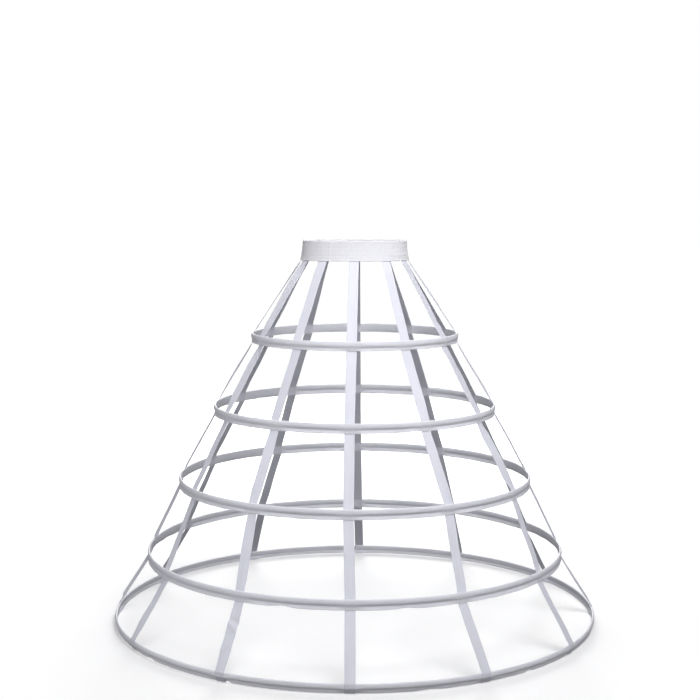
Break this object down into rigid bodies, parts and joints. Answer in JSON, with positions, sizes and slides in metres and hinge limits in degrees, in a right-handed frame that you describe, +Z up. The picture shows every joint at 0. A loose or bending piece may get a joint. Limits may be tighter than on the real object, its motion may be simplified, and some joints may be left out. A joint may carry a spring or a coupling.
{
  "type": "crinoline cage",
  "caption": "Bell-shaped underskirt frame: steel hoops in white cloth casings that widen towards the hem, hung by ribbon tapes from a shirred elastic waistband.",
  "frame": {"origin": "on the floor, on the axis of the hoops, under the middle of the cage", "axes": "+Z up along the axis of the hoops, the front of the cage faces -Y, and the wearer's left is +X"},
  "size_m": [1.101, 1.101, 0.863],
  "materials": {
    "waistband_cloth": "white shirred plain-weave cloth",
    "elastic_webbing": "ribbed white elastic webbing",
    "casing_cloth": "white cotton-polyester cloth, doubled and stitched",
    "sheathed_steel": "white plastic sheath over a spring-steel strip",
    "joiner_steel": "plain crimped steel",
    "tape_ribbon": "white woven ribbon with fine cross ribs"
  },
  "bodies": {
    "root": {"waistband_casing": "waistband_cloth", "waist_elastic": "elastic_webbing", "hoop_1_casing": "casing_cloth", "hoop_1_steel": "sheathed_steel", "hoop_1_joiner": "joiner_steel", "hoop_2_casing": "casing_cloth", "hoop_2_steel": "sheathed_steel", "hoop_2_joiner": "joiner_steel", "hoop_3_casing": "casing_cloth", "hoop_3_steel": "sheathed_steel", "hoop_3_joiner": "joiner_steel", "hoop_4_casing": "casing_cloth", "hoop_4_steel": "sheathed_steel", "hoop_4_joiner": "joiner_steel", "hoop_5_casing": "casing_cloth", "hoop_5_steel": "sheathed_steel", "hoop_5_joiner": "joiner_steel", "tape_front": "tape_ribbon", "tape_back": "tape_ribbon", "tape_left_1": "tape_ribbon", "tape_left_2": "tape_ribbon", "tape_left_3": "tape_ribbon", "tape_left_4": "tape_ribbon", "tape_left_5": "tape_ribbon", "tape_right_1": "tape_ribbon", "tape_right_2": "tape_ribbon", "tape_right_3": "tape_ribbon", "tape_right_4": "tape_ribbon", "tape_right_5": "tape_ribbon"}
  },
  "joints": []
}
